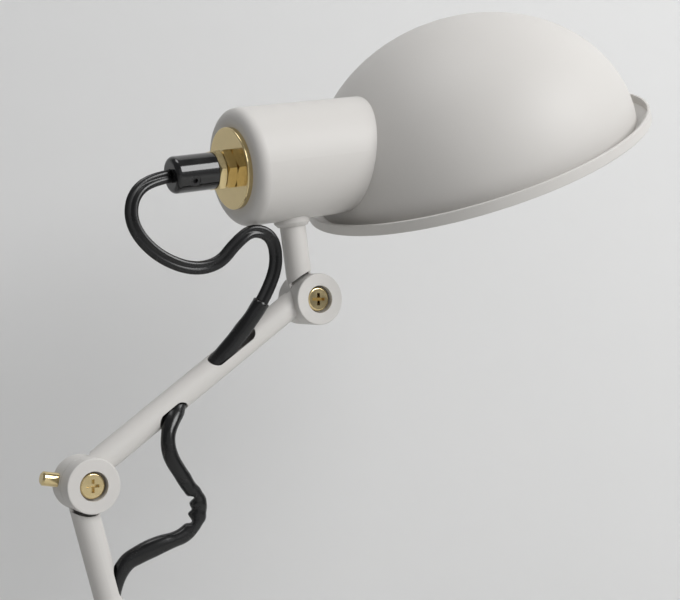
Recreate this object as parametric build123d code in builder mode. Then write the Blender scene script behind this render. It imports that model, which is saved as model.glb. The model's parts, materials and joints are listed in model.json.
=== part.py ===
from build123d import *
import math
import os

standing = (Align.CENTER, Align.CENTER, Align.MIN)

os.makedirs("parts", exist_ok=True)

# ---------------------------------------------------------------- driving dimensions, mm
# base
base_radius = 88.0
base_height = 26.0
cover_wall = 1.5
cover_edge_round = 7.0
pad_thickness = 2.0
pad_inset = 5.0
weight_thickness = 19.0
weight_gap = 0.6
swivel_height = 82.0          # base pivot above the table

# arms
lower_arm_length = 200.0
upper_arm_length = 142.0
lower_arm_lean = 15.5         # degrees off vertical, top leaning back
upper_arm_rise = 35.5         # degrees above horizontal
tube_radius = 6.3
tube_wall = 1.2
tube_offset = 4.0             # tube axis to pivot axis

# pivots
knuckle_radius = 12.5
front_disc_thickness = 9.0
rear_disc_thickness = 10.7
washer_thickness = 0.3
seam_y = -1.0                 # rear face of every front disc
cope_gap = 1.5                # arm end to the other arm's disc
disc_edge_round = 0.6
screw_radius = 3.0
screw_fit = 0.05              # radial
screw_head_radius = 5.9
screw_head_thickness = 2.3
cross_length = 6.0
cross_width = 1.4
cross_depth = 2.6
recess_radius = 6.7
recess_depth = 4.6
spring_washer_thickness = 0.7
lock_nut_flats = 10.0
lock_nut_thickness = 4.0
nut_recess_depth = 4.4
lock_screw_radius = 3.2
lock_tip_radius = 1.2
lock_screw_length = 12.6
lock_screw_angle = 10.0       # degrees above horizontal

# head
head_tilt = 8.5               # housing axis above horizontal
stem_height = 67.8            # head pivot to housing axis
stem_offset = 4.4
collar_radius = 8.8
collar_height = 3.0
housing_radius = 28.3
housing_wall = 1.3
housing_back = 27.9           # stem axis to the rear face
housing_edge_round = 5.0
rim_radius = 93.0
rim_height = 5.7
rim_wall = 1.3
shade_radius = 85.6
shade_height = 71.5           # above the rim band
shade_wall = 1.2
shade_tilt = 25.1             # rim plane against horizontal
shade_roll = 6.1              # crown turned toward the front discs
shade_reach = 115.0           # stem axis to the rim centre, along the housing
shade_drop = 12.7             # housing axis to the rim centre

# cord fittings on the housing
back_washer_radius = 19.6
back_washer_thickness = 2.5
nut_flats = 18.0
inner_nut_thickness = 4.9
outer_nut_thickness = 3.6
nut_chamfer = 1.3
nut_gap = 0.4
nipple_radius = 5.0
nipple_bore = 3.6
grip_radius = 8.75
grip_length = 21.5
grip_screw_radius = 2.6

# lamp holder and bulb
holder_radius = 19.0
holder_length = 44.0
shell_radius = 13.6
shell_wall = 0.5
bulb_radius = 22.5
cap_radius = 12.9
glass_wall = 0.8

# flex
flex_width = 5.4
sleeve_radius = 3.75
slot_width = 8.6

# lead
gland_length = 25.0
switch_length = 58.0
switch_width = 25.0
switch_height = 16.0
coil_mid_radius = 30.0
coil_width = 16.0
coil_height = 14.0
coil_base = 1.7
coil_centre_x, coil_centre_y = -122.0, 158.0
tie_thickness = 1.2
tie_width = 11.0
plug_length = 34.0
plug_width = 26.0
plug_height = 13.5
pin_radius = 2.0
pin_length = 19.0
pin_pitch = 19.0

# ---------------------------------------------------------------- derived places
flex_radius = flex_width / 2
rear_y = seam_y + washer_thickness          # front face of every rear disc
back_y = rear_y + rear_disc_thickness
front_y = seam_y - front_disc_thickness
tube_bore = tube_radius - tube_wall


def turned(degrees):
    """Unit vector in the arms' plane, degrees above +X."""
    return Vector(math.cos(math.radians(degrees)), 0, math.sin(math.radians(degrees)))


def between(first, second, degrees):
    """Unit vector turned from the first direction toward the second."""
    angle = math.radians(degrees)
    return first * math.cos(angle) + second * math.sin(angle)


toward_viewer = Vector(0, -1, 0)
lower_dir = turned(90 + lower_arm_lean)     # base pivot to elbow
upper_dir = turned(upper_arm_rise)          # elbow to head pivot
housing_dir = turned(head_tilt)
stem_dir = turned(90 + head_tilt)
shade_dir = turned(shade_tilt)
shade_up = between(turned(90 + shade_tilt), toward_viewer, shade_roll)

base_pivot = Vector(0, 0, swivel_height)
elbow = base_pivot + lower_dir * lower_arm_length
head_pivot = elbow + upper_dir * upper_arm_length

lower_axis = base_pivot + turned(180 + lower_arm_lean) * tube_offset
upper_axis = elbow + turned(90 + upper_arm_rise) * tube_offset
stem_foot = head_pivot - housing_dir * stem_offset
stem_top = stem_foot + stem_dir * stem_height
housing_rear = stem_top - housing_dir * housing_back
rim_centre = stem_top + housing_dir * shade_reach - stem_dir * shade_drop


def y_axis_at(point, y, toward_back):
    """Placement whose +Z runs along the pivot axis from the given y."""
    return Location((point.X, y, point.Z), (-90 if toward_back else 90, 0, 0))


def disc(point, y, radius, depth, toward_back, mode):
    """Cylinder on a pivot axis, starting at y and running to the back or the front."""
    with Locations(y_axis_at(point, y, toward_back)):
        Cylinder(radius, depth, align=standing, mode=mode)


def cope(pivot, mine_is_front):
    """Shape a tube's end: it meets its own disc and stays clear of the other one."""
    reach = 3 * tube_radius
    front_radius = knuckle_radius if mine_is_front else knuckle_radius + cope_gap
    rear_radius = knuckle_radius + cope_gap if mine_is_front else knuckle_radius
    split_y = seam_y if mine_is_front else rear_y
    disc(pivot, split_y, front_radius, reach, False, Mode.SUBTRACT)
    disc(pivot, split_y, rear_radius, reach, True, Mode.SUBTRACT)


def tube_plane(start, direction):
    return Plane(origin=start, x_dir=toward_viewer, z_dir=direction)


def slot_plane(axis_start, direction, distance, outward):
    return Plane(origin=axis_start + direction * distance, x_dir=direction, z_dir=outward)


def save(builder, name):
    builder.part.label = name
    export_step(builder.part, f"parts/{name}.step")


def corner_radii(points):
    """The largest arc that each corner's two runs allow."""
    radii = []
    for before, at, after in zip(points, points[1:], points[2:]):
        first, second = at - before, after - at
        half_turn = math.radians(first.get_angle(second)) / 2
        radii.append(0.45 * min(first.length, second.length) / math.tan(half_turn))
    return radii


def flex_tube(name, points):
    """Plain round tube along a route of straight runs and arcs."""
    route = [Vector(*point) for point in points]
    radii = corner_radii(route)
    with BuildPart() as tube:
        with BuildLine() as path:
            if radii:
                FilletPolyline(*route, radius=radii)
            else:
                Line(*route)
        centre_line = path.wire()
        with BuildSketch(Plane(origin=centre_line @ 0, z_dir=centre_line % 0)):
            Circle(flex_radius)
        sweep(path=centre_line)
    expected = math.pi * flex_radius**2 * centre_line.length
    print(f"{name}: length {centre_line.length:.1f}, radii {[round(r, 1) for r in radii]},"
          f" volume ratio {tube.part.volume / expected:.4f}")
    save(tube, name)


# ---------------------------------------------------------------- base
cover_top = base_height
weight_bottom = pad_thickness
weight_top = weight_bottom + weight_thickness
bush_radius = 10.0
bush_flange_radius = 16.0
bush_flange_thickness = 2.5
shaft_radius = 8.0
shaft_fit = 0.05
clip_groove_depth = 1.0
clip_thickness = 1.5
bush_bottom = weight_bottom + 11.5
cavity_radius = 19.0
cavity_height = 15.0
gland_z = 8.5
gland_root_radius = 6.0
gland_tip_radius = 3.8
gland_neck_radius = 4.6
weight_screw_circle = 60.0
weight_screw_radius = 2.0
weight_screw_head = 4.0

with BuildPart() as base_cover:
    with BuildSketch(Plane.XZ):
        with BuildLine():
            Polyline((0, weight_bottom), (base_radius, weight_bottom), (base_radius, cover_top),
                     (0, cover_top),
                     close=True)
        make_face()
    revolve(axis=Axis.Z)
    fillet(base_cover.edges().group_by(Axis.Z)[-1], cover_edge_round)
    offset(amount=-cover_wall, openings=base_cover.faces().sort_by(Axis.Z)[0])
    with Locations((0, 0, cover_top - cover_wall)):
        Cylinder(bush_radius, 3 * cover_wall, mode=Mode.SUBTRACT)
    with Locations(Location((-base_radius, 0, gland_z), (0, -90, 0))):
        Cylinder(gland_neck_radius, 6 * cover_wall, mode=Mode.SUBTRACT)
    with PolarLocations(weight_screw_circle, 3, start_angle=0):
        with Locations((0, 0, weight_top)):
            Cylinder(5.0, cover_top - cover_wall - weight_top, align=standing)
            Cylinder(weight_screw_radius, 2.5, align=standing, mode=Mode.SUBTRACT)
save(base_cover, "base_cover")

weight_radius = base_radius - cover_wall - weight_gap
channel_width = flex_width + 2.6
channel_top = gland_z + flex_radius + 1.0

with BuildPart() as base_weight:
    with Locations((0, 0, weight_bottom)):
        Cylinder(weight_radius, weight_thickness, align=standing)
    chamfer(base_weight.edges().group_by(Axis.Z)[-1], 3.0)
    with Locations((0, 0, weight_bottom)):
        Cylinder(bush_radius, weight_thickness, align=standing, mode=Mode.SUBTRACT)
        Cylinder(cavity_radius, cavity_height, align=standing, mode=Mode.SUBTRACT)
    with Locations((0, 0, weight_bottom)):
        Box(base_radius, channel_width, channel_top - weight_bottom,
            align=(Align.MAX, Align.CENTER, Align.MIN), mode=Mode.SUBTRACT)
    with Locations((-weight_radius, 0, weight_bottom)):
        Box(14.0, 2 * gland_root_radius + 1.6, gland_z + gland_root_radius,
            align=standing, mode=Mode.SUBTRACT)
    with PolarLocations(weight_screw_circle, 3, start_angle=0):
        with Locations((0, 0, weight_bottom)):
            Cylinder(weight_screw_radius, weight_thickness, align=standing,
                     mode=Mode.SUBTRACT)
            Cylinder(weight_screw_head, 3.0, align=standing, mode=Mode.SUBTRACT)
save(base_weight, "base_weight")

with BuildPart() as weight_screws:
    with PolarLocations(weight_screw_circle, 3, start_angle=0):
        with Locations((0, 0, weight_bottom)):
            Cylinder(weight_screw_head - 0.2, 2.4, align=standing)
            Cylinder(weight_screw_radius - 0.05, weight_thickness + 2.0,
                     align=standing)
            Box(5.0, 1.0, 1.0, align=standing, mode=Mode.SUBTRACT)
save(weight_screws, "weight_screws")

with BuildPart() as felt_pad:
    Cylinder(base_radius - pad_inset, pad_thickness, align=standing)
save(felt_pad, "felt_pad")

with BuildPart() as swivel_bush:
    with Locations((0, 0, cover_top)):
        Cylinder(bush_flange_radius, bush_flange_thickness, align=standing)
    fillet(swivel_bush.edges().group_by(Axis.Z)[-1], 1.0)
    with Locations((0, 0, bush_bottom)):
        Cylinder(bush_radius, cover_top - bush_bottom, align=standing)
        Cylinder(shaft_radius + shaft_fit, 2 * base_height, align=standing,
                 mode=Mode.SUBTRACT)
save(swivel_bush, "swivel_bush")

bush_nut_thickness = 3.0
with BuildPart() as bush_nut:
    with BuildSketch(Plane.XY.offset(weight_bottom + cavity_height - bush_nut_thickness)):
        RegularPolygon(14.5, 6, major_radius=False)
        Circle(bush_radius, mode=Mode.SUBTRACT)
    extrude(amount=bush_nut_thickness)
save(bush_nut, "bush_nut")

# ---------------------------------------------------------------- post, turning in the base
collar_bottom = cover_top + bush_flange_thickness
collar_top = collar_bottom + 9.0
shaft_bottom = bush_bottom - 1.3 - clip_thickness
clip_z = bush_bottom - 0.3 - clip_thickness
post_slot_centre = 56.5
post_slot_length = 17.0
post_slot_out = between(turned(0), toward_viewer, 12)

with BuildPart() as post:
    with Locations((0, 0, shaft_bottom)):
        Cylinder(shaft_radius, collar_bottom - shaft_bottom, align=standing)
    with Locations((0, 0, collar_bottom)):
        Cylinder(12.0, collar_top - collar_bottom, align=standing)
    fillet(post.edges().group_by(Axis.Z)[-1], 2.0)
    with Locations((0, 0, collar_top)):
        Cylinder(tube_radius, swivel_height - collar_top, align=standing)
    with Locations((0, 0, shaft_bottom)):
        Cylinder(tube_bore, swivel_height, align=standing, mode=Mode.SUBTRACT)
    with Locations((0, 0, clip_z)):
        Cylinder(shaft_radius + 1, clip_thickness, align=standing,
                 mode=Mode.SUBTRACT)
        Cylinder(shaft_radius - clip_groove_depth, clip_thickness,
                 align=standing)
        Cylinder(tube_bore, clip_thickness, align=standing, mode=Mode.SUBTRACT)
    cope(base_pivot, True)
    with BuildSketch(slot_plane(Vector(0, 0, 0), Vector(0, 0, 1), post_slot_centre, post_slot_out)):
        SlotOverall(post_slot_length, slot_width)
    extrude(amount=2 * tube_radius, mode=Mode.SUBTRACT)
save(post, "post")

with BuildPart() as post_clip:
    with BuildSketch(Plane.XY.offset(clip_z)):
        Circle(shaft_radius + 1.8)
        Circle(shaft_radius - clip_groove_depth, mode=Mode.SUBTRACT)
        with Locations((0, -shaft_radius)):
            Rectangle(5.0, 6.0, mode=Mode.SUBTRACT)
    extrude(amount=clip_thickness)
save(post_clip, "post_clip")


# ---------------------------------------------------------------- the three pivots
def front_disc(name, pivot):
    """Disc with the screw-head recess, ahead of the seam."""
    with BuildPart() as part:
        disc(pivot, seam_y, knuckle_radius, front_disc_thickness, False, Mode.ADD)
        fillet(part.edges().group_by(Axis.Y)[0], disc_edge_round)
        disc(pivot, seam_y, screw_radius + screw_fit, front_disc_thickness, False, Mode.SUBTRACT)
        disc(pivot, front_y + recess_depth, recess_radius, recess_depth, False, Mode.SUBTRACT)
    save(part, name)


def rear_disc(name, pivot, radial_hole):
    """Disc with the lock-nut recess, behind the seam."""
    with BuildPart() as part:
        disc(pivot, rear_y, knuckle_radius, rear_disc_thickness, True, Mode.ADD)
        fillet(part.edges().group_by(Axis.Y)[-1], disc_edge_round)
        disc(pivot, rear_y, screw_radius, rear_disc_thickness, True, Mode.SUBTRACT)
        disc(pivot, back_y - nut_recess_depth, recess_radius, nut_recess_depth, True, Mode.SUBTRACT)
        if radial_hole:
            with BuildSketch(lock_screw_plane(0)):
                Circle(lock_tip_radius + screw_fit)
            extrude(amount=knuckle_radius, mode=Mode.SUBTRACT)
            with BuildSketch(lock_screw_plane(lock_shoulder)):
                Circle(lock_screw_radius + screw_fit)
            extrude(amount=knuckle_radius, mode=Mode.SUBTRACT)
    save(part, name)


def pivot_hardware(place, pivot, cross_turn):
    """Screw with a cross recess turned as it was tightened, friction washer and lock nut."""
    head_back = front_y + recess_depth - spring_washer_thickness
    head_front = head_back - screw_head_thickness
    nut_back = back_y - nut_recess_depth + lock_nut_thickness
    with BuildPart() as screw:
        disc(pivot, head_back, screw_head_radius, screw_head_thickness, False, Mode.ADD)
        fillet(screw.edges().group_by(Axis.Y)[0], 1.0)
        disc(pivot, head_back, screw_radius, nut_back - head_back, True, Mode.ADD)
        with Locations(Location((pivot.X, head_front, pivot.Z), (90, cross_turn, 0))):
            Box(cross_length, cross_width, 2 * cross_depth, mode=Mode.SUBTRACT)
            Box(cross_width, cross_length, 2 * cross_depth, mode=Mode.SUBTRACT)
    save(screw, f"{place}_pivot_screw")
    with BuildPart() as friction:
        disc(pivot, seam_y, knuckle_radius - 0.9, washer_thickness, True, Mode.ADD)
        disc(pivot, seam_y, screw_radius + 0.2, washer_thickness, True, Mode.SUBTRACT)
    save(friction, f"{place}_friction_washer")
    with BuildPart() as nut:
        nut_front = Plane(origin=(pivot.X, nut_back - lock_nut_thickness, pivot.Z), x_dir=(1, 0, 0),
                          z_dir=(0, 1, 0))
        with BuildSketch(nut_front):
            RegularPolygon(lock_nut_flats / 2, 6, major_radius=False)
            Circle(screw_radius, mode=Mode.SUBTRACT)
        extrude(amount=lock_nut_thickness)
    save(nut, f"{place}_lock_nut")


lock_screw_dir = turned(180 - lock_screw_angle)
lock_screw_y = back_y - nut_recess_depth - lock_tip_radius - 0.2
lock_screw_centre = Vector(elbow.X, lock_screw_y, elbow.Z)


def lock_screw_plane(distance):
    """Section across the lock screw at a distance from the elbow's pivot axis."""
    return Plane(origin=lock_screw_centre + lock_screw_dir * distance, x_dir=toward_viewer,
                 z_dir=lock_screw_dir)


lock_shoulder = recess_radius + 0.3

front_disc("post_eye", base_pivot)
rear_disc("lower_arm_bottom_eye", base_pivot, False)
pivot_hardware("base", base_pivot, 20)
rear_disc("lower_arm_top_eye", elbow, True)
front_disc("upper_arm_elbow_eye", elbow)
pivot_hardware("elbow", elbow, 0)
front_disc("upper_arm_head_eye", head_pivot)
rear_disc("stem_eye", head_pivot, False)
pivot_hardware("head", head_pivot, 30)

with BuildPart() as elbow_lock_screw:
    with BuildSketch(lock_screw_plane(screw_radius + 0.2)):
        Circle(lock_tip_radius)
    extrude(amount=lock_shoulder)
    with BuildSketch(lock_screw_plane(lock_shoulder + 0.2)):
        Circle(lock_screw_radius)
    extrude(amount=lock_screw_length)
    chamfer(elbow_lock_screw.edges().sort_by(Axis(lock_screw_centre, lock_screw_dir))[-1], 0.8)
save(elbow_lock_screw, "elbow_lock_screw")

# ---------------------------------------------------------------- arms
lower_slot_distance = 47.0
lower_slot_length = 17.0
lower_slot_out = between(turned(lower_arm_lean), toward_viewer, 10)

with BuildPart() as lower_tube:
    with BuildSketch(tube_plane(lower_axis, lower_dir)):
        Circle(tube_radius)
        Circle(tube_bore, mode=Mode.SUBTRACT)
    extrude(amount=lower_arm_length)
    cope(base_pivot, False)
    cope(elbow, False)
    for distance in (lower_slot_distance, lower_arm_length - lower_slot_distance):
        with BuildSketch(slot_plane(lower_axis, lower_dir, distance, lower_slot_out)):
            SlotOverall(lower_slot_length, slot_width)
        extrude(amount=2 * tube_radius, mode=Mode.SUBTRACT)
save(lower_tube, "lower_tube")

upper_top_slot_distance = 93.0
upper_top_slot_length = 28.0
upper_under_slot_distance = 50.0
upper_under_slot_length = 17.0
upper_normal = turned(90 + upper_arm_rise)

with BuildPart() as upper_tube:
    with BuildSketch(tube_plane(upper_axis, upper_dir)):
        Circle(tube_radius)
        Circle(tube_bore, mode=Mode.SUBTRACT)
    extrude(amount=upper_arm_length)
    cope(elbow, True)
    cope(head_pivot, True)
    for distance, length, turn in ((upper_top_slot_distance, upper_top_slot_length, 40),
                                   (upper_under_slot_distance, upper_under_slot_length, 135)):
        slot_out = between(upper_normal, toward_viewer, turn)
        with BuildSketch(slot_plane(upper_axis, upper_dir, distance, slot_out)):
            SlotOverall(length, slot_width)
        extrude(amount=2 * tube_radius, mode=Mode.SUBTRACT)
save(upper_tube, "upper_tube")

# ---------------------------------------------------------------- head
with BuildPart() as stem:
    with BuildSketch(tube_plane(stem_foot, stem_dir)):
        Circle(tube_radius)
        Circle(tube_bore, mode=Mode.SUBTRACT)
    extrude(amount=stem_height)
    cope(head_pivot, False)
    with BuildSketch(tube_plane(stem_top - housing_dir * housing_radius * 2, housing_dir)):
        Circle(housing_radius)
    extrude(amount=4 * housing_radius, mode=Mode.SUBTRACT)
save(stem, "stem")

with BuildPart() as stem_collar:
    collar_foot = stem_top - stem_dir * (housing_radius + collar_height)
    with BuildSketch(tube_plane(collar_foot, stem_dir)):
        Circle(tube_radius + 0.8)
    with BuildSketch(tube_plane(collar_foot + stem_dir * (collar_height - 1.2), stem_dir)):
        Circle(collar_radius)
    loft()
    with BuildSketch(tube_plane(collar_foot + stem_dir * (collar_height - 1.2), stem_dir)):
        Circle(collar_radius)
    extrude(amount=6.0)
    with BuildSketch(tube_plane(stem_foot, stem_dir)):
        Circle(tube_radius)
    extrude(amount=stem_height, mode=Mode.SUBTRACT)
    with BuildSketch(tube_plane(stem_top - housing_dir * housing_radius * 2, housing_dir)):
        Circle(housing_radius)
    extrude(amount=4 * housing_radius, mode=Mode.SUBTRACT)
save(stem_collar, "stem_collar")



def shade_outline(radius, height):
    """Quarter ellipse from the edge to the crown, closed on the axis, with a short upright skirt."""
    EllipticalCenterArc((0, rim_height), radius, height, start_angle=0, arc_size=90)
    Polyline((0, rim_height + height), (0, 0), (radius, 0), (radius, rim_height))


section_plane = Plane(origin=rim_centre, x_dir=shade_dir, z_dir=shade_dir.cross(shade_up))
shade_axis = Axis(rim_centre, shade_up)

with BuildPart() as shade_outer_body:
    with BuildSketch(section_plane):
        with BuildLine():
            shade_outline(shade_radius, shade_height)
        make_face()
    revolve(axis=shade_axis)

with BuildPart() as shade_dome:
    add(shade_outer_body.part)
    with BuildSketch(section_plane):
        with BuildLine():
            shade_outline(shade_radius - shade_wall, shade_height - shade_wall)
        make_face()
    revolve(axis=shade_axis, mode=Mode.SUBTRACT)
    with BuildSketch(tube_plane(housing_rear, housing_dir)):
        Circle(housing_radius - housing_wall)
    extrude(amount=shade_reach, mode=Mode.SUBTRACT)
save(shade_dome, "shade_dome")

with BuildPart() as shade_rim:
    with BuildSketch(section_plane) as rim_section:
        with BuildLine():
            Polyline((shade_radius, 0), (rim_radius, 0), (rim_radius, rim_height),
                     (rim_radius - rim_wall, rim_height),
                     (rim_radius - rim_wall, rim_wall), (shade_radius, rim_wall), close=True)
        make_face()
        fillet(rim_section.vertices().group_by(Axis.X)[-1], 0.6)
    revolve(axis=shade_axis)
save(shade_rim, "shade_rim")

with BuildPart() as socket_housing:
    with BuildSketch(tube_plane(housing_rear, housing_dir)):
        Circle(housing_radius)
    extrude(amount=shade_reach)
    fillet(socket_housing.edges().sort_by(Axis(housing_rear, housing_dir))[0],
           housing_edge_round)
    with BuildSketch(tube_plane(housing_rear + housing_dir * housing_wall, housing_dir)):
        Circle(housing_radius - housing_wall - housing_edge_round / 2)
    extrude(amount=housing_edge_round, mode=Mode.SUBTRACT)
    with BuildSketch(tube_plane(housing_rear + housing_dir * housing_edge_round, housing_dir)):
        Circle(housing_radius - housing_wall)
    extrude(amount=shade_reach, mode=Mode.SUBTRACT)
    add(shade_outer_body.part, mode=Mode.SUBTRACT)
    with BuildSketch(tube_plane(housing_rear, housing_dir)):
        Circle(nipple_radius)
    extrude(amount=2 * housing_wall, mode=Mode.SUBTRACT)
save(socket_housing, "socket_housing")

washer_start = housing_rear - housing_dir * back_washer_thickness
inner_nut_start = washer_start - housing_dir * inner_nut_thickness
outer_nut_start = inner_nut_start - housing_dir * (outer_nut_thickness + nut_gap)
grip_start = outer_nut_start - housing_dir * grip_length

with BuildPart() as back_washer:
    with BuildSketch(tube_plane(washer_start, housing_dir)):
        Circle(back_washer_radius)
        Circle(nipple_radius, mode=Mode.SUBTRACT)
    extrude(amount=back_washer_thickness)
    fillet(back_washer.edges().filter_by(GeomType.CIRCLE).sort_by(SortBy.RADIUS)[-2:]
           .sort_by(Axis(washer_start, housing_dir))[0], 0.5)
save(back_washer, "back_washer")


nut_corner = nut_flats / 2 / math.cos(math.radians(30))


def hex_nut(name, start, thickness):
    with BuildPart() as nut:
        with BuildSketch(tube_plane(start, housing_dir)):
            RegularPolygon(nut_flats / 2, 6, major_radius=False)
            Circle(nipple_radius, mode=Mode.SUBTRACT)
        extrude(amount=thickness)
        with BuildSketch(Plane(origin=start, x_dir=stem_dir, z_dir=stem_dir.cross(housing_dir))):
            with BuildLine():
                Polyline((0, 0), (nut_corner - nut_chamfer, 0), (nut_corner, nut_chamfer / 2),
                         (nut_corner, thickness - nut_chamfer / 2), (nut_corner - nut_chamfer, thickness),
                         (0, thickness), close=True)
            make_face()
        revolve(axis=Axis(start, housing_dir), mode=Mode.INTERSECT)
    save(nut, name)


hex_nut("inner_hex_nut", inner_nut_start, inner_nut_thickness)
hex_nut("outer_hex_nut", outer_nut_start, outer_nut_thickness)

holder_start = housing_rear + housing_dir * 6.0
nipple_start = outer_nut_start - housing_dir * 5.0
with BuildPart() as threaded_nipple:
    with BuildSketch(tube_plane(nipple_start, housing_dir)):
        Circle(nipple_radius)
        Circle(nipple_bore, mode=Mode.SUBTRACT)
    extrude(amount=(holder_start - nipple_start).length + 4.0)
save(threaded_nipple, "threaded_nipple")

grip_screw_place = grip_start + housing_dir * 9.0
grip_screw_out = between(toward_viewer, -stem_dir, 28)
with BuildPart() as cord_grip:
    with BuildSketch(tube_plane(grip_start, housing_dir)):
        Circle(grip_radius)
    extrude(amount=grip_length)
    fillet(cord_grip.edges().sort_by(Axis(grip_start, housing_dir))[0], 2.4)
    with BuildSketch(tube_plane(grip_start, housing_dir)):
        Circle(flex_radius + 0.3)
    extrude(amount=grip_length, mode=Mode.SUBTRACT)
    with BuildSketch(tube_plane(nipple_start, housing_dir)):
        Circle(nipple_radius)
    extrude(amount=5.0, mode=Mode.SUBTRACT)
    with BuildSketch(Plane(origin=grip_screw_place, x_dir=housing_dir, z_dir=grip_screw_out)):
        Circle(grip_screw_radius)
    extrude(amount=grip_radius + 1, mode=Mode.SUBTRACT)
save(cord_grip, "cord_grip")

with BuildPart() as grip_screw:
    with BuildSketch(Plane(origin=grip_screw_place + grip_screw_out * (flex_radius + 0.1), x_dir=housing_dir,
                           z_dir=grip_screw_out)):
        Circle(grip_screw_radius)
    extrude(amount=grip_radius - flex_radius - 0.4)
    with BuildSketch(Plane(origin=grip_screw_place + grip_screw_out * (grip_radius - 0.3), x_dir=housing_dir,
                           z_dir=grip_screw_out)):
        RegularPolygon(1.4, 6)
    extrude(amount=-1.6, mode=Mode.SUBTRACT)
save(grip_screw, "grip_screw")

with BuildPart() as lamp_holder:
    with BuildSketch(tube_plane(holder_start, housing_dir)):
        Circle(holder_radius)
    extrude(amount=holder_length)
    fillet(lamp_holder.edges().sort_by(Axis(holder_start, housing_dir))[0], 3.0)
    with BuildSketch(tube_plane(holder_start + housing_dir * 16.0, housing_dir)):
        Circle(shell_radius + shell_wall)
    extrude(amount=holder_length, mode=Mode.SUBTRACT)
    with BuildSketch(tube_plane(holder_start, housing_dir)):
        Circle(nipple_radius)
    extrude(amount=10.0, mode=Mode.SUBTRACT)
save(lamp_holder, "lamp_holder")

shell_start = holder_start + housing_dir * 16.0
with BuildPart() as screw_shell:
    with BuildSketch(tube_plane(shell_start, housing_dir)):
        Circle(shell_radius + shell_wall)
        Circle(shell_radius, mode=Mode.SUBTRACT)
    extrude(amount=24.0)
    with BuildSketch(tube_plane(shell_start, housing_dir)):
        Circle(shell_radius + shell_wall)
        Circle(5.0, mode=Mode.SUBTRACT)
    extrude(amount=0.6)
save(screw_shell, "screw_shell")

with BuildPart() as centre_contact:
    with BuildSketch(tube_plane(shell_start, housing_dir)):
        Circle(3.5)
    extrude(amount=2.4)
save(centre_contact, "centre_contact")

cap_start = shell_start + housing_dir * 2.5
cap_length = 26.0
neck_radius = 13.5
bulb_centre = cap_length + 26.0
with BuildPart() as bulb_cap:
    with BuildSketch(tube_plane(cap_start, housing_dir)):
        Circle(4.5)
    with BuildSketch(tube_plane(cap_start + housing_dir * 2.5, housing_dir)):
        Circle(cap_radius)
    loft()
    with BuildSketch(tube_plane(cap_start + housing_dir * 2.5, housing_dir)):
        Circle(cap_radius)
    extrude(amount=cap_length - 2.5)
save(bulb_cap, "bulb_cap")

with BuildPart() as bulb_glass:
    neck_end = bulb_centre - math.sqrt(bulb_radius**2 - neck_radius**2)
    with BuildSketch(tube_plane(cap_start + housing_dir * cap_length, housing_dir)):
        Circle(cap_radius - 0.2)
    with BuildSketch(tube_plane(cap_start + housing_dir * (neck_end + 1.0), housing_dir)):
        Circle(neck_radius)
    loft()
    bulb_middle = cap_start + housing_dir * bulb_centre
    with Locations(Location((bulb_middle.X, bulb_middle.Y, bulb_middle.Z))):
        Sphere(bulb_radius)
        Sphere(bulb_radius - glass_wall, mode=Mode.SUBTRACT)
    with BuildSketch(tube_plane(cap_start + housing_dir * cap_length, housing_dir)):
        Circle(cap_radius - 0.2 - glass_wall)
    extrude(amount=bulb_centre - cap_length, mode=Mode.SUBTRACT)
save(bulb_glass, "bulb_glass")


# ---------------------------------------------------------------- flex, from the holder down to the base
def sleeves(name, places):
    """Shrink sleeves over straight runs of flex, short of the bends at each run's ends."""
    with BuildPart() as part:
        for start, end, start_gap, end_gap in places:
            along = (Vector(*end) - Vector(*start)).normalized()
            first, last = Vector(*start) + along * start_gap, Vector(*end) - along * end_gap
            with BuildSketch(Plane(origin=first, z_dir=along)):
                Circle(sleeve_radius)
                Circle(flex_radius, mode=Mode.SUBTRACT)
            extrude(amount=(last - first).length)
    save(part, name)


head_loop_points = [
    (-5.9, 0, 415.5), (-20.7, 0, 413.3), (-31.5, -0.5, 405), (-32.5, -1.5, 391), (-21.5, -3, 378),
    (-5, -5.5, 371), (9, -7.5, 373.5), (17, -9.5, 384), (25.5, -10.5, 390.5), (36, -10.5, 387),
    (38.5, -10, 374), (33.5, -9.5, 361), (26.0, -8.2, 348.4), (9.36, 0, 324.44), (-0.41, 0, 317.47),
]
elbow_loop_points = [
    (-0.41, 0, 317.47), (-8.55, 0, 311.66), (-14.6, -8.6, 297.0), (-17.5, -9.0, 287.0), (-9.5, -8.6, 275.5),
    (-0.5, -8.3, 262.0), (-3.5, -7.6, 250.0), (-15.5, -6.6, 245.2), (-26.5, -5.0, 243.6),
    (-35.6, -2.5, 240.6), (-42.6, 0, 220.66), (-39.66, 0, 210.06),
]
base_loop_points = [
    (-21.49, 0, 144.53), (-18.29, 0, 132.97), (-3.5, -2.4, 121.5), (9.5, -4.0, 112.0), (17.0, -4.8, 98.0),
    (17.5, -4.4, 83.0), (12.0, -2.8, 68.0), (0.0, 0.0, 50.0), (0.0, 0.0, 40.0),
]

base_flex_points = [
    (0.0, 0.0, 40.0), (0.0, 0.0, 14.0), (-2.4, 0.0, 7.6), (-8.8, 0.0, 5.7), (-40.0, 0.8, 6.0),
    (-76.0, 0.0, 8.5), (-113.0, 0.0, 8.5),
]

flex_tube("head_loop_flex", head_loop_points)
flex_tube("elbow_loop_flex", elbow_loop_points)
flex_tube("base_loop_flex", base_loop_points)
flex_tube("lower_arm_flex", [elbow_loop_points[-1], base_loop_points[0]])
flex_tube("base_flex", base_flex_points)

sleeves("upper_arm_sleeves", ((head_loop_points[-3], head_loop_points[-2], 7.1, 6.0),
                              (elbow_loop_points[1], elbow_loop_points[2], 4.9, 4.9)))
sleeves("lower_arm_sleeves", ((elbow_loop_points[-3], elbow_loop_points[-2], 4.7, 5.4),
                              (base_loop_points[1], base_loop_points[2], 5.9, 7.5)))
sleeves("post_sleeve", ((base_loop_points[-3], base_loop_points[-2], 7.5, 4.9),))

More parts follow.
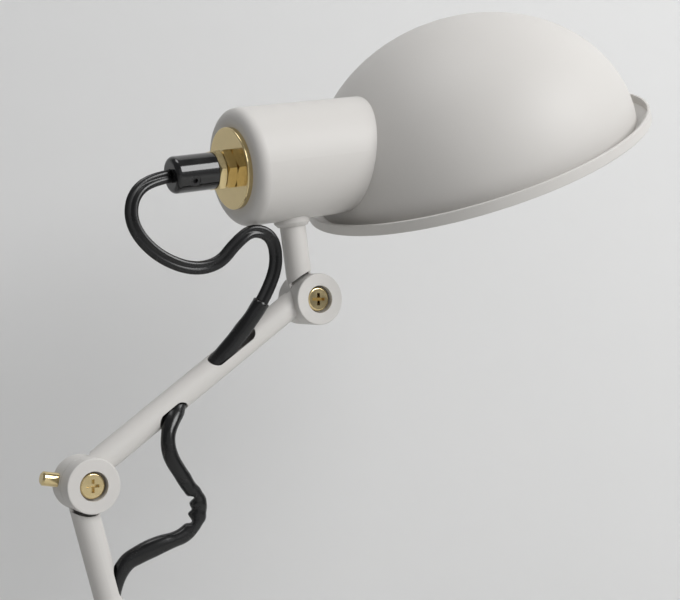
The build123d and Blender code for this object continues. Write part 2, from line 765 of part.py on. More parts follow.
# ---------------------------------------------------------------- lead, laid on the table behind the base
switch_x = -158.5
switch_start_y = 53.0
switch_bottom = 0.3
plug_x = -89.5
plug_cord_y = 112.0
plug_z = 0.3 + plug_height / 2

gland_points = [
    (-113.0, 0.0, 8.5), (-122.0, 0.0, 8.5), (-134.0, 3.0, 4.6), (-146.0, 11.5, 2.9), (-154.5, 25.0, 3.2),
    (-158.5, 40.0, 6.0), (-158.5, 53.0, 6.0),
]
switch_to_coil_points = [
    (-158.5, 111.0, 6.0), (-158.5, 119.0, 6.0), (-156.5, 127.0, 4.6), (-155.0, 134.6, 4.4),
]
coil_to_plug_points = [
    (-89.0, 134.6, 4.4), (-88.6, 127.0, 5.0), (-89.5, 120.0, 7.05), (-89.5, 112.0, 7.05),
]
flex_tube("lead_to_switch", gland_points)
flex_tube("lead_to_coil", switch_to_coil_points)
flex_tube("lead_to_plug", coil_to_plug_points)

gland_inner = -(base_radius - cover_wall)
with BuildPart() as cord_gland:
    with BuildSketch(Plane(origin=(gland_inner + 3.0, 0, gland_z), x_dir=(0, 1, 0), z_dir=(-1, 0, 0))):
        Circle(gland_root_radius)
    extrude(amount=2.6)
    with BuildSketch(Plane(origin=(gland_inner + 1.0, 0, gland_z), x_dir=(0, 1, 0), z_dir=(-1, 0, 0))):
        Circle(gland_neck_radius)
    extrude(amount=cover_wall + 2.0)
    with BuildSketch(Plane(origin=(-base_radius - 0.2, 0, gland_z), x_dir=(0, 1, 0), z_dir=(-1, 0, 0))):
        Circle(gland_root_radius - 0.2)
    gland_end = -base_radius - gland_length
    with BuildSketch(Plane(origin=(gland_end, 0, gland_z), x_dir=(0, 1, 0), z_dir=(-1, 0, 0))):
        Circle(gland_tip_radius)
    loft()
    with BuildSketch(Plane(origin=(0, 0, gland_z), x_dir=(0, 1, 0), z_dir=(-1, 0, 0))):
        Circle(flex_radius + 0.15)
    extrude(amount=2 * base_radius, mode=Mode.SUBTRACT)
save(cord_gland, "cord_gland")

rocker_length = 17.0
rocker_width = 10.0
rocker_gap = 0.5
switch_middle_y = switch_start_y + switch_length / 2
switch_top = switch_bottom + switch_height - 2.0
pocket_depth = 6.0
rocker_pin_z = switch_top - 2.6
rocker_pin_radius = 1.2

with BuildPart() as switch_body:
    with Locations((switch_x, switch_middle_y, switch_bottom)):
        Box(switch_width, switch_length, switch_top - switch_bottom, align=standing)
    fillet(switch_body.edges().filter_by(Axis.Z), 9.0)
    fillet(switch_body.edges().group_by(Axis.Z)[-1], 2.0)
    with Locations((switch_x, switch_middle_y, switch_top)):
        Box(rocker_width + 2 * rocker_gap, rocker_length + 2 * rocker_gap, pocket_depth,
            align=(Align.CENTER, Align.CENTER, Align.MAX), mode=Mode.SUBTRACT)
    with Locations(Location((switch_x, switch_middle_y, rocker_pin_z), (0, 90, 0))):
        Cylinder(rocker_pin_radius, rocker_width + 4.0, mode=Mode.SUBTRACT)
save(switch_body, "switch_body")

with BuildPart() as switch_rocker:
    with BuildSketch(Plane.YZ.offset(switch_x - rocker_width / 2)):
        with BuildLine():
            Polyline((switch_middle_y - rocker_length / 2, rocker_pin_z - 0.8),
                     (switch_middle_y - rocker_length / 2, rocker_pin_z + 2.4),
                     (switch_middle_y, rocker_pin_z + 3.0),
                     (switch_middle_y + rocker_length / 2 - 1.0, rocker_pin_z + 4.6),
                     (switch_middle_y + rocker_length / 2, rocker_pin_z + 0.9),
                     (switch_middle_y + 2.0, rocker_pin_z - 1.9),
                     (switch_middle_y - 2.0, rocker_pin_z - 1.9), close=True)
        make_face()
    extrude(amount=rocker_width)
    with Locations(Location((switch_x, switch_middle_y, rocker_pin_z), (0, 90, 0))):
        Cylinder(rocker_pin_radius - 0.05, rocker_width + 3.6)
save(switch_rocker, "switch_rocker")

with BuildPart() as lead_coil:
    with BuildSketch(Plane(origin=(coil_centre_x, coil_centre_y, 0), x_dir=(1, 0, 0), z_dir=(0, -1, 0))):
        with Locations((coil_mid_radius, coil_base + coil_height / 2)):
            RectangleRounded(coil_width, coil_height, 4.0)
    revolve(axis=Axis((coil_centre_x, coil_centre_y, 0), (0, 0, 1)))
save(lead_coil, "lead_coil")

tie_y = coil_centre_y + coil_mid_radius
with BuildPart() as coil_tie:
    with BuildSketch(Plane(origin=(coil_centre_x - tie_width / 2, tie_y, coil_base + coil_height / 2),
                           x_dir=(0, 1, 0), z_dir=(1, 0, 0))):
        RectangleRounded(coil_width + 1.6 + 2 * tie_thickness, coil_height + 0.2 + 2 * tie_thickness, 5.0)
        with Locations((-0.3, 0)):
            RectangleRounded(coil_width + 1.4, coil_height + 0.2, 3.9, mode=Mode.SUBTRACT)
    extrude(amount=tie_width)
save(coil_tie, "coil_tie")

with BuildPart() as plug_body:
    with BuildSketch(Plane(origin=(plug_x, plug_cord_y, plug_z), x_dir=(1, 0, 0), z_dir=(0, -1, 0))):
        RectangleRounded(10.0, 8.0, 3.0)
    with BuildSketch(Plane(origin=(plug_x, plug_cord_y - plug_length * 0.45, plug_z), x_dir=(1, 0, 0),
                           z_dir=(0, -1, 0))):
        RectangleRounded(plug_width, plug_height, 5.0)
    loft()
    with BuildSketch(Plane(origin=(plug_x, plug_cord_y - plug_length * 0.45, plug_z), x_dir=(1, 0, 0),
                           z_dir=(0, -1, 0))):
        RectangleRounded(plug_width, plug_height, 5.0)
    extrude(amount=plug_length * 0.55)
save(plug_body, "plug_body")

with BuildPart() as plug_pins:
    plug_end_y = plug_cord_y - plug_length
    with BuildSketch(Plane(origin=(plug_x, plug_end_y, plug_z), x_dir=(1, 0, 0), z_dir=(0, -1, 0))):
        with Locations((-pin_pitch / 2, 0), (pin_pitch / 2, 0)):
            Circle(pin_radius)
    extrude(amount=pin_length)
    fillet(plug_pins.edges().group_by(Axis.Y)[0], 1.2)
save(plug_pins, "plug_pins")
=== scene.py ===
import json
import math
import random

import bmesh
import bpy
from mathutils import Matrix, Vector, noise


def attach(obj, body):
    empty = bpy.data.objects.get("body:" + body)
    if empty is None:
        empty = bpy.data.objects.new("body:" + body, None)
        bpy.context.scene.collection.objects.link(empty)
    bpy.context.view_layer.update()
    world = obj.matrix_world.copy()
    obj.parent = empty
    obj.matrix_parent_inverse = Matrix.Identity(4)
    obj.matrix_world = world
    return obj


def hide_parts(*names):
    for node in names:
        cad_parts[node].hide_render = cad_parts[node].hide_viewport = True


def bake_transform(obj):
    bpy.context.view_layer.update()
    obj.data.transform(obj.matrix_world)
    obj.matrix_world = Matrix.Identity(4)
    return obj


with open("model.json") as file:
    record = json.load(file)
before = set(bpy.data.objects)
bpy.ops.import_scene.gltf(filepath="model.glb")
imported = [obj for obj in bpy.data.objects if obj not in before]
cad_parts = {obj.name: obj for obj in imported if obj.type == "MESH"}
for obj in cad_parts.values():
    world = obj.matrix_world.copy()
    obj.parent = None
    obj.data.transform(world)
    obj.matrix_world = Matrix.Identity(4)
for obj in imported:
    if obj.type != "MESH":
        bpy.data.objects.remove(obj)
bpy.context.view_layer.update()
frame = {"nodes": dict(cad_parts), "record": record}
nodes = frame["nodes"]
scene = bpy.context.scene
random.seed(11)


# ------------------------------------------------------------ helpers
def mm(points):
    """Points in millimetres, in metres."""
    return [Vector(p) / 1000 for p in points]


def finished(bm, name, body, material):
    """Turn a bmesh into a smooth piece, riding on a body unless body is None."""
    for face in bm.faces:
        face.smooth = True
    mesh = bpy.data.meshes.new(name)
    bm.to_mesh(mesh)
    bm.free()
    piece = bpy.data.objects.new(name, mesh)
    scene.collection.objects.link(piece)
    mesh.materials.append(material)
    if body:
        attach(piece, body)
    return piece


def towards(direction, place=(0, 0, 0)):
    """Placement whose +Z runs along a direction."""
    turn = Vector(direction).to_track_quat("Z", "Y").to_matrix().to_4x4()
    return Matrix.Translation(Vector(place)) @ turn


# ------------------------------------------------------------ camera
camera_place = Vector((-0.2789, -0.5962, 0.3627))
camera_azimuth = math.radians(-31.0)
camera_tilt = math.radians(0.5)
sensor_width = 36.0    # mm
lens_length = 74.12    # mm
view_dir = Vector((-math.sin(camera_azimuth) * math.cos(camera_tilt),
                   math.cos(camera_azimuth) * math.cos(camera_tilt),
                   -math.sin(camera_tilt)))
view_right = view_dir.cross(Vector((0, 0, 1))).normalized()

camera_data = bpy.data.cameras.new("camera")
camera_data.sensor_width = sensor_width
camera_data.lens = lens_length
camera = bpy.data.objects.new("camera", camera_data)
scene.collection.objects.link(camera)
camera.location = camera_place
camera.rotation_euler = view_dir.to_track_quat("-Z", "Y").to_euler()
scene.camera = camera


# ------------------------------------------------------------ node groups and materials
def new_group(name, inputs, outputs):
    """An empty shader group with its sockets, and its input and output nodes."""
    group = bpy.data.node_groups.new(name, "ShaderNodeTree")
    for label, kind, value in inputs:
        socket = group.interface.new_socket(name=label, in_out="INPUT", socket_type=kind)
        if value is not None:
            socket.default_value = value
    for label, kind in outputs:
        group.interface.new_socket(name=label, in_out="OUTPUT", socket_type=kind)
    return group, group.nodes.new("NodeGroupInput"), group.nodes.new("NodeGroupOutput")


def add(tree, kind, **settings):
    """Add a node and set its own properties."""
    node = tree.nodes.new(kind)
    for key, value in settings.items():
        setattr(node, key, value)
    return node


def noise_node(tree, vector, scale, detail, roughness=0.55):
    """Noise read at a vector, with its scale taken from an output."""
    node = add(tree, "ShaderNodeTexNoise")
    node.inputs["Detail"].default_value = detail
    node.inputs["Roughness"].default_value = roughness
    tree.links.new(vector, node.inputs["Vector"])
    tree.links.new(scale, node.inputs["Scale"])
    return node.outputs["Fac"]


def grain_group():
    """Fine surface grain: a height, and a mask of slow blotches."""
    group, start, end = new_group(
        "surface grain",
        [("Grain Scale", "NodeSocketFloat", 900.0), ("Blotch Scale", "NodeSocketFloat", 14.0)],
        [("Height", "NodeSocketFloat"), ("Blotches", "NodeSocketFloat")])
    place = add(group, "ShaderNodeTexCoord").outputs["Object"]
    fine = noise_node(group, place, start.outputs["Grain Scale"], 3.0)
    slow = noise_node(group, place, start.outputs["Blotch Scale"], 4.0)
    group.links.new(fine, end.inputs["Height"])
    group.links.new(slow, end.inputs["Blotches"])
    return group


def dust_group():
    """Dust and handling marks: more on what faces up, broken by noise."""
    group, start, end = new_group(
        "dust and marks",
        [("Amount", "NodeSocketFloat", 0.3), ("Scale", "NodeSocketFloat", 60.0)],
        [("Mask", "NodeSocketFloat")])
    geometry = add(group, "ShaderNodeNewGeometry")
    split = add(group, "ShaderNodeSeparateXYZ")
    group.links.new(geometry.outputs["Normal"], split.inputs["Vector"])
    up = add(group, "ShaderNodeMapRange")
    up.inputs["From Min"].default_value = 0.2    # steeper faces hold no dust
    up.inputs["From Max"].default_value = 1.0
    group.links.new(split.outputs["Z"], up.inputs["Value"])
    place = add(group, "ShaderNodeTexCoord").outputs["Object"]
    broken = noise_node(group, place, start.outputs["Scale"], 6.0, 0.7)
    spread = add(group, "ShaderNodeMapRange")
    spread.inputs["From Min"].default_value = 0.42
    spread.inputs["From Max"].default_value = 0.72
    group.links.new(broken, spread.inputs["Value"])
    both = add(group, "ShaderNodeMath", operation="MULTIPLY")
    group.links.new(up.outputs["Result"], both.inputs[0])
    group.links.new(spread.outputs["Result"], both.inputs[1])
    scaled = add(group, "ShaderNodeMath", operation="MULTIPLY")
    group.links.new(both.outputs["Value"], scaled.inputs[0])
    group.links.new(start.outputs["Amount"], scaled.inputs[1])
    group.links.new(scaled.outputs["Value"], end.inputs["Mask"])
    return group


def scratch_group():
    """Long fine lines, as on turned or drawn metal, along a stretched pattern."""
    group, start, end = new_group(
        "fine lines",
        [("Stretch", "NodeSocketVector", (1.0, 1.0, 1.0)), ("Scale", "NodeSocketFloat", 300.0)],
        [("Height", "NodeSocketFloat")])
    place = add(group, "ShaderNodeTexCoord").outputs["Object"]
    stretched = add(group, "ShaderNodeVectorMath", operation="MULTIPLY")
    group.links.new(place, stretched.inputs[0])
    group.links.new(start.outputs["Stretch"], stretched.inputs[1])
    lines = noise_node(group, stretched.outputs["Vector"], start.outputs["Scale"], 4.0, 0.6)
    group.links.new(lines, end.inputs["Height"])
    return group


surface_grain = grain_group()
dust_and_marks = dust_group()
fine_lines = scratch_group()
surface_ior = 1.5
blotch_low, blotch_high = 0.25, 0.75    # usual reach of the slow noise
line_relief = 0.0001
line_scale = 400.0


def group_node(tree, group, **values):
    """Place a group, its inputs set by name, with _ for a space."""
    node = add(tree, "ShaderNodeGroup", node_tree=group)
    for key, value in values.items():
        node.inputs[key.replace("_", " ")].default_value = value
    return node


def finish_material(name, colour, roughness, colour_shift=0.06, rough_shift=0.08, metallic=0.0, coat=0.0,
                    coat_roughness=0.1, grain=900.0, blotch=14.0, bump=0.02, bump_depth=0.0002, dust=0.0,
                    dust_scale=60.0, dust_colour=(0.62, 0.60, 0.56, 1), lines=None, line_depth=0.0,
                    sheen=0.0):
    """A procedural finish: base colour with slow blotches and dust, varied roughness, grain and line bump."""
    material = bpy.data.materials.new(name)
    material.use_nodes = True
    tree = material.node_tree
    shader = tree.nodes["Principled BSDF"]
    shader.inputs["Metallic"].default_value = metallic
    shader.inputs["IOR"].default_value = surface_ior
    shader.inputs["Coat Weight"].default_value = coat
    shader.inputs["Coat Roughness"].default_value = coat_roughness
    if sheen:
        shader.inputs["Sheen Weight"].default_value = sheen
    surface = group_node(tree, surface_grain, Grain_Scale=grain, Blotch_Scale=blotch)

    tint = add(tree, "ShaderNodeMix", data_type="RGBA")
    tint.inputs["A"].default_value = (*[c * (1 - colour_shift) for c in colour], 1)
    tint.inputs["B"].default_value = (*[min(1, c * (1 + colour_shift)) for c in colour], 1)
    tree.links.new(surface.outputs["Blotches"], tint.inputs["Factor"])
    base = tint.outputs["Result"]
    if dust:
        marks = group_node(tree, dust_and_marks, Amount=dust, Scale=dust_scale)
        dusty = add(tree, "ShaderNodeMix", data_type="RGBA")
        dusty.inputs["B"].default_value = dust_colour
        tree.links.new(marks.outputs["Mask"], dusty.inputs["Factor"])
        tree.links.new(base, dusty.inputs["A"])
        base = dusty.outputs["Result"]
    tree.links.new(base, shader.inputs["Base Color"])

    rough = add(tree, "ShaderNodeMapRange")
    rough.inputs["From Min"].default_value = blotch_low
    rough.inputs["From Max"].default_value = blotch_high
    rough.inputs["To Min"].default_value = max(0.02, roughness - rough_shift)
    rough.inputs["To Max"].default_value = min(1.0, roughness + rough_shift)
    tree.links.new(surface.outputs["Blotches"], rough.inputs["Value"])
    tree.links.new(rough.outputs["Result"], shader.inputs["Roughness"])

    relief = add(tree, "ShaderNodeBump")
    relief.inputs["Strength"].default_value = bump
    relief.inputs["Distance"].default_value = bump_depth
    tree.links.new(surface.outputs["Height"], relief.inputs["Height"])
    normal = relief.outputs["Normal"]
    if lines:
        drawn = group_node(tree, fine_lines, Stretch=lines, Scale=line_scale)
        second = add(tree, "ShaderNodeBump")
        second.inputs["Strength"].default_value = line_depth
        second.inputs["Distance"].default_value = line_relief
        tree.links.new(drawn.outputs["Height"], second.inputs["Height"])
        tree.links.new(normal, second.inputs["Normal"])
        normal = second.outputs["Normal"]
    tree.links.new(normal, shader.inputs["Normal"])
    return material


grey_paint = finish_material("grey powder coat", (0.585, 0.568, 0.545), 0.56, colour_shift=0.015,
                             rough_shift=0.05, grain=1500.0, blotch=9.0, bump=0.10, bump_depth=0.00008,
                             dust=0.10, dust_scale=90.0)
brass = finish_material("polished brass", (0.74, 0.60, 0.33), 0.17, colour_shift=0.10, rough_shift=0.09,
                        metallic=1.0, grain=700.0, blotch=160.0, bump=0.05, bump_depth=0.0001,
                        lines=(1.0, 6.0, 1.0), line_depth=0.10)
steel = finish_material("zinc plated steel", (0.60, 0.60, 0.58), 0.30, colour_shift=0.10, metallic=1.0,
                        grain=800.0, blotch=120.0, bump=0.05, lines=(1.0, 1.0, 8.0), line_depth=0.1)
cast_iron = finish_material("cast iron", (0.09, 0.088, 0.085), 0.75, colour_shift=0.25, metallic=0.7,
                            grain=500.0, blotch=60.0, bump=0.5, bump_depth=0.0006)
felt = finish_material("black felt", (0.030, 0.030, 0.032), 0.95, colour_shift=0.4, grain=1600.0,
                       blotch=700.0, bump=0.8, bump_depth=0.0006, sheen=0.5)
fibre = finish_material("black fibre", (0.030, 0.028, 0.026), 0.7, colour_shift=0.2, grain=900.0,
                        blotch=300.0, bump=0.2)
gloss_black = finish_material("polished black moulding", (0.003, 0.003, 0.0033), 0.14, colour_shift=0.2,
                              rough_shift=0.04, grain=600.0, blotch=40.0, bump=0.03, coat=0.3,
                              coat_roughness=0.06, dust=0.05, dust_scale=200.0)
black_plastic = finish_material("grained black moulding", (0.016, 0.016, 0.017), 0.42, colour_shift=0.2,
                                grain=2200.0, blotch=60.0, bump=0.35, bump_depth=0.0001, dust=0.06,
                                dust_scale=150.0)
flex_black = finish_material("black twin flex", (0.003, 0.003, 0.0033), 0.27, colour_shift=0.2,
                             rough_shift=0.08, grain=900.0, blotch=70.0, bump=0.10, bump_depth=0.0001,
                             dust=0.012, dust_scale=180.0)
sleeve_black = finish_material("black shrink sleeve", (0.003, 0.003, 0.0033), 0.24, colour_shift=0.2,
                               rough_shift=0.10, grain=500.0, blotch=110.0, bump=0.25, bump_depth=0.0002,
                               dust=0.012, dust_scale=160.0)
holder_plastic = finish_material("dark holder moulding", (0.030, 0.024, 0.020), 0.30, colour_shift=0.2,
                                 grain=500.0, blotch=50.0, bump=0.06)
cap_metal = finish_material("bright bulb cap", (0.76, 0.76, 0.74), 0.28, metallic=1.0, grain=800.0,
                            blotch=90.0, bump=0.05, lines=(6.0, 1.0, 1.0), line_depth=0.1)
frosted_glass = finish_material("frosted bulb glass", (0.80, 0.79, 0.75), 0.42, colour_shift=0.03,
                                rough_shift=0.04, grain=1800.0, blotch=40.0, bump=0.08, coat=0.3,
                                coat_roughness=0.25)

slot_material = {
    "grey_paint": grey_paint, "brass": brass, "steel": steel, "cast_weight": cast_iron, "felt": felt,
    "fibre": fibre, "gloss_black": gloss_black, "black_plastic": black_plastic, "flex": flex_black,
    "sleeve": sleeve_black, "holder": holder_plastic, "bulb_glass": frosted_glass, "bulb_cap": cap_metal,
}
for subpart in frame["record"]["subparts"]:
    mesh = nodes[subpart["node"]].data
    mesh.materials.clear()
    mesh.materials.append(slot_material[subpart["material_slot"]])


# ------------------------------------------------------------ flex and lead routes
def centre_line(name, points, resolution=8):
    """Points along the smooth line of a route."""
    curve = bpy.data.curves.new(name, "CURVE")
    curve.dimensions = "3D"
    spline = curve.splines.new("NURBS")
    spline.points.add(len(points) - 1)
    for point, place in zip(spline.points, points):
        point.co = (*place, 1.0)
    spline.order_u = 3
    spline.use_endpoint_u = True
    spline.resolution_u = resolution
    holder = bpy.data.objects.new(name, curve)
    mesh = bpy.data.meshes.new_from_object(holder)
    line = [v.co.copy() for v in mesh.vertices]
    bpy.data.objects.remove(holder)
    bpy.data.curves.remove(curve)
    bpy.data.meshes.remove(mesh)
    return line


def line_length(line):
    """Length along a line of points."""
    return sum((b - a).length for a, b in zip(line, line[1:]))


def stretch_of(line, start, end):
    """The part of a line between two distances along it."""
    kept = []
    gone = 0.0
    for a, b in zip(line, line[1:]):
        step = (b - a).length
        if start <= gone <= end:
            kept.append(a.copy())
        gone += step
    return kept


def tube_rings(bm, line, face, radius, segments=20):
    """Rings square to a line, broad side square to face; radius(angle, along) shapes each one."""
    along = 0.0
    rings = []
    for index, place in enumerate(line):
        ahead = line[min(index + 1, len(line) - 1)]
        behind = line[max(index - 1, 0)]
        if index:
            along += (place - line[index - 1]).length
        tangent = (ahead - behind).normalized()
        side = tangent.cross(Vector(face)).normalized()
        out = tangent.cross(side)
        ring = bmesh.ops.create_circle(bm, segments=segments, radius=1.0)["verts"]
        for number, vert in enumerate(ring):
            angle = math.tau * number / segments
            reach = radius(angle, along)
            vert.co = place + (side * math.cos(angle) + out * math.sin(angle)) * reach
        rings.append(ring)
    for first, second in zip(rings, rings[1:]):
        edges = [e for ring in (first, second) for e in {e for v in ring for e in v.link_edges
                                                         if e.other_vert(v) in ring}]
        bmesh.ops.bridge_loops(bm, edges=list(dict.fromkeys(edges)))
    for ring in (rings[0], rings[-1]):
        edges = list({e for v in ring for e in v.link_edges if e.other_vert(v) in ring})
        bmesh.ops.contextual_create(bm, geom=edges)
    bmesh.ops.recalc_face_normals(bm, faces=bm.faces)


front_face = (0.515, 0.857, 0.0)    # broad sides of the hanging flex face this way
flex_width = 0.0054
lobe_radius = 0.0014
lobe_offset = flex_width / 2 - lobe_radius
web_half = 0.00095


def twin(angle, along):
    """Outline of the twin flex: two round cores joined by a web."""
    across = lobe_offset * abs(math.cos(angle))
    rest = lobe_radius**2 - (lobe_offset * math.sin(angle))**2
    return max(across + math.sqrt(max(rest, 0.0)), web_half / max(abs(math.sin(angle)), 0.3))


head_route = mm([
    (-5.9, 0, 415.5), (-20.7, 0, 413.3), (-31.5, -0.5, 405), (-32.5, -1.5, 391), (-21.5, -3, 378),
    (-5, -5.5, 371), (9, -7.5, 373.5), (17, -9.5, 384), (25.5, -10.5, 390.5), (36, -10.5, 387),
    (38.5, -10, 374), (33.5, -9.5, 361), (26.0, -8.2, 348.4), (9.36, 0, 324.44), (-0.41, 0, 317.47),
])
elbow_route = mm([
    (-0.41, 0, 317.47), (-8.55, 0, 311.66), (-16.8, -8.0, 298.5), (-17.5, -9.0, 287.0), (-9.8, -8.6, 275.5),
    (-0.3, -8.3, 262.8), (-5.6, -7.6, 249.6), (-18.0, -6.6, 246.2), (-29.0, -5.0, 242.2),
    (-37.2, -2.5, 237.6), (-42.6, 0, 220.66), (-39.66, 0, 210.06),
])
base_route = mm([
    (-21.49, 0, 144.53), (-18.29, 0, 132.97), (-3.5, -2.4, 121.5), (9.5, -4.0, 112.0), (17.0, -4.8, 98.0),
    (17.5, -4.4, 83.0), (12.0, -2.8, 68.0), (0.0, 0.0, 50.0), (0.0, 0.0, 40.0),
])
gland_route = mm([
    (-113.0, 0.0, 8.5), (-122.0, 0.0, 8.5), (-134.0, 3.0, 4.6), (-146.0, 11.5, 2.9), (-154.5, 25.0, 3.2),
    (-158.5, 40.0, 6.0), (-158.5, 53.0, 6.0),
])
switch_to_coil_route = mm([
    (-158.5, 111.0, 6.0), (-158.5, 119.0, 6.0), (-156.5, 127.0, 4.6), (-155.0, 134.6, 4.4),
])
coil_to_plug_route = mm([
    (-89.0, 134.6, 4.4), (-88.6, 127.0, 5.0), (-89.5, 120.0, 7.05), (-89.5, 112.0, 7.05),
])


def coil_route():
    """Wound turns, clockwise seen from above, column by column and layer by layer."""
    centre = Vector((-0.122, 0.158))
    mid_radius = 0.030
    column = 0.0050
    layers = (0.0044, 0.0082, 0.0120)
    step_share = 0.2    # last part of a turn, where the flex steps to the next column or layer
    turns = [(1, 0), (0, 0), (-1, 0), (-1, 1), (0, 1), (1, 1), (0, 2), (1, 2), (1.75, 0)]
    per_turn = 14
    start = math.radians(-150.0)
    sweep = math.tau * 8 + math.radians(241.0)
    steps = round(per_turn * sweep / math.tau)
    points = []
    for step in range(steps + 1):
        turn = step / per_turn
        index = min(int(turn), len(turns) - 1)
        into = turn - index
        here, there = turns[index], turns[min(index + 1, len(turns) - 1)]
        share = max(0.0, (into - 1 + step_share) / step_share) if index < len(turns) - 1 else 0.0
        share = share * share * (3 - 2 * share)
        offset = here[0] + (there[0] - here[0]) * share
        height = layers[here[1]] + (layers[there[1]] - layers[here[1]]) * share
        wobble = 0.0005 * math.sin(5.1 * turn + index) + 0.0004 * random.uniform(-1, 1)
        radius = mid_radius + offset * column + wobble
        angle = start - sweep * step / steps
        points.append(Vector((centre.x + radius * math.cos(angle), centre.y + radius * math.sin(angle),
                              height + 0.0003 * random.uniform(-1, 1))))
    return points


def flex_piece(name, route, face, body, shape=twin, segments=20, material=None,
               resolution=8):
    """A tube along a route, and the line it follows; the twin flex unless a shape is given."""
    line = centre_line(name, route, resolution)
    bm = bmesh.new()
    tube_rings(bm, line, face, shape, segments)
    piece = finished(bm, name, body, material or flex_black)
    return piece, line


# head loop: twin flex from the cord grip to the upper arm's top slot
head_loop, head_line = flex_piece("head_loop", head_route, front_face, None)
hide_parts("head_loop_flex")

# elbow loop: the flex inside one long loose sleeve, creased where it folds
# each crease: distance along the loop, depth, half width, side; each swell: distance, size, half width
creases = [(0.0625, 0.0026, 0.0015, -1), (0.0690, 0.0006, 0.0015, -1), (0.0755, 0.0023, 0.0017, -1),
           (0.0560, 0.0004, 0.0030, 1), (0.0300, 0.0004, 0.0050, 1), (0.0885, 0.0004, 0.0040, -1)]
swells = [(0.0175, 0.0014, 0.0060), (0.0655, 0.0006, 0.0026), (0.0722, 0.0007, 0.0026),
          (0.1000, 0.0008, 0.0130)]
loose_broad, loose_thick = 0.0036, 0.0029    # half widths of the loose sleeve


def oval_radius(angle, broad, thick):
    """Reach of an oval at an angle, from its two half widths."""
    return broad * thick / math.hypot(thick * math.cos(angle), broad * math.sin(angle))


def bump_at(along, middle, width):
    """A smooth rise to 1 at a middle, falling off over a half width."""
    return math.exp(-((along - middle) / width)**2)


def creased(angle, along):
    """Outline of the loose sleeve: a soft oval, pinched on one side at each crease, swollen beside it."""
    broad = loose_broad + sum(size * bump_at(along, at, width) for at, size, width in swells)
    oval = oval_radius(angle, broad, loose_thick)
    pinch = sum(depth * bump_at(along, at, width) * max(0.0, side * math.cos(angle) + 0.15)
                for at, depth, width, side in creases)
    ridge = 0.00010 * math.sin(along * 1500 + 3 * math.sin(angle)) * bump_at(along, 0.068, 0.010)
    uneven = 0.00016 * noise.noise(Vector((along * 150, math.cos(angle) * 1.4, math.sin(angle) * 1.4)))
    return oval - pinch + ridge + uneven


elbow_loop, elbow_line = flex_piece("elbow_loop", elbow_route, front_face, None, creased, 24,
                                    sleeve_black, 14)
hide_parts("elbow_loop_flex", "lower_arm_sleeves")

base_loop, base_line = flex_piece("base_loop", base_route, front_face, None)
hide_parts("base_loop_flex")

# mains lead: gland to switch, coil, plug
lead_route = gland_route + switch_to_coil_route[:-1] + coil_route() + coil_to_plug_route[1:]
lead, lead_line = flex_piece("mains_lead", lead_route, (0, 0, 1), "base", resolution=5, segments=16)
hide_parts("lead_to_switch", "lead_to_coil", "lead_to_plug", "lead_coil")

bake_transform(head_loop)
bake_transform(elbow_loop)
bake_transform(base_loop)


# ------------------------------------------------------------ sleeves at the slots
def sleeve_piece(name, line, start, end, body, mouth, neck, node, thick=0.0031):
    """A shrink sleeve over a stretch of flex, with slack wrinkles; its half width goes from mouth to neck."""
    part = stretch_of(line, start, end)
    length = line_length(part)

    def shape(angle, along):
        share = along / length
        broad = mouth + (neck - mouth) * share
        oval = oval_radius(angle, broad, thick)
        lip = 0.0003 * bump_at(along, 0.0, 0.0010)
        slack = 0.00010 * math.sin(along * 500 + 1.7 * math.sin(angle * 2))
        uneven = 0.00022 * noise.noise(Vector((along * 160, math.cos(angle), math.sin(angle) + 3)))
        return oval + lip + slack + uneven

    bm = bmesh.new()
    tube_rings(bm, part, front_face, shape, 24)
    piece = finished(bm, name, body, sleeve_black)
    if node:
        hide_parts(node)
    return piece


head_length = line_length(head_line)
base_length = line_length(base_line)
sleeve_piece("upper_arm_top_sleeve", head_line, head_length - 0.052, head_length - 0.008, "upper_arm",
             0.0038, 0.0046, "upper_arm_sleeves", 0.0034)
sleeve_piece("lower_arm_bottom_sleeve", base_line[::-1], base_length - 0.026, base_length - 0.006,
             "lower_arm", 0.0036, 0.0036, None)
sleeve_piece("post_slot_sleeve", base_line, base_length - 0.036, base_length - 0.012, "post",
             0.0037, 0.0035, "post_sleeve")


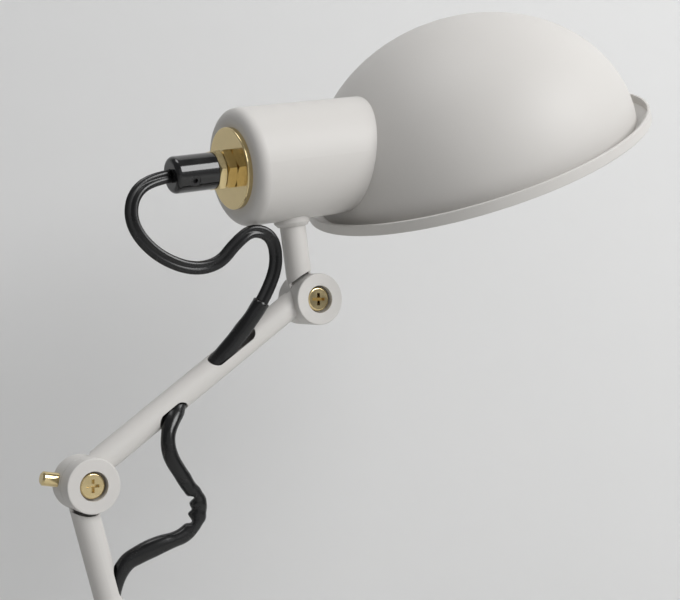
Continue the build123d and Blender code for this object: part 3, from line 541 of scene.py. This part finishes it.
# ------------------------------------------------------------ stage and light
def stage_plane(name, size, place, colour, roughness, one_sided):
    """A flat stage piece; one_sided makes its back face clear."""
    bm = bmesh.new()
    bmesh.ops.create_grid(bm, x_segments=1, y_segments=1, size=size, matrix=place)
    mesh = bpy.data.meshes.new(name)
    bm.to_mesh(mesh)
    bm.free()
    plane = bpy.data.objects.new(name, mesh)
    scene.collection.objects.link(plane)
    material = finish_material(name, colour, roughness, colour_shift=0.02, grain=40.0, blotch=3.0, bump=0.10,
                               bump_depth=0.002)
    if one_sided:
        tree = material.node_tree
        behind = add(tree, "ShaderNodeNewGeometry")
        clear = add(tree, "ShaderNodeBsdfTransparent")
        pick = add(tree, "ShaderNodeMixShader")
        tree.links.new(behind.outputs["Backfacing"], pick.inputs["Fac"])
        tree.links.new(tree.nodes["Principled BSDF"].outputs["BSDF"], pick.inputs[1])
        tree.links.new(clear.outputs["BSDF"], pick.inputs[2])
        tree.links.new(pick.outputs["Shader"], tree.nodes["Material Output"].inputs["Surface"])
    mesh.materials.append(material)


wall_gap = 0.34
floor_drop = 0.0005
floor_half, wall_half = 4.0, 1.6
wall_middle_height = 1.55
floor_colour = (0.66, 0.66, 0.65)
wall_colour = (0.765, 0.765, 0.762)
wall_place = Vector((view_dir.x, view_dir.y, 0)).normalized() * wall_gap
stage_plane("floor", floor_half, Matrix.Translation((0, 0, -floor_drop)), floor_colour, 0.7, False)
wall_turn = towards((-view_dir.x, -view_dir.y, 0), (*wall_place.xy, wall_middle_height))
stage_plane("wall", wall_half, wall_turn, wall_colour, 0.85, True)


def area_light(name, place, aim, size, power):
    """A square lamp at a place, turned to an aim."""
    data = bpy.data.lights.new(name, "AREA")
    data.shape = "SQUARE"
    data.size = size
    data.energy = power
    light = bpy.data.objects.new(name, data)
    scene.collection.objects.link(light)
    light.location = place
    light.rotation_euler = (Vector(aim) - Vector(place)).to_track_quat("-Z", "Y").to_euler()


lamp_middle = Vector((0.05, 0.0, 0.36))
toward_camera = -view_dir
up = Vector((0, 0, 1))
window_place = lamp_middle + view_right * 1.15 + toward_camera * 0.75 + up * 0.85
area_light("window", window_place, lamp_middle, 0.9, 20.0)
fill_place = lamp_middle + view_right * 0.6 + toward_camera * 1.4 - up * 0.15
area_light("fill", fill_place, lamp_middle, 2.2, 4.2)
wall_middle = Vector((wall_place.x, wall_place.y, lamp_middle.z))
wash_place = wall_middle + toward_camera * 0.5 - view_right * 0.2 + up * 1.2
area_light("wall wash", wash_place, wall_middle, 0.6, 3.7)

world = bpy.data.worlds.new("soft room")
world.use_nodes = True
world.node_tree.nodes["Background"].inputs["Color"].default_value = (0.97, 0.98, 1.0, 1)
world.node_tree.nodes["Background"].inputs["Strength"].default_value = 0.24
scene.world = world
scene.view_settings.view_transform = "Standard"
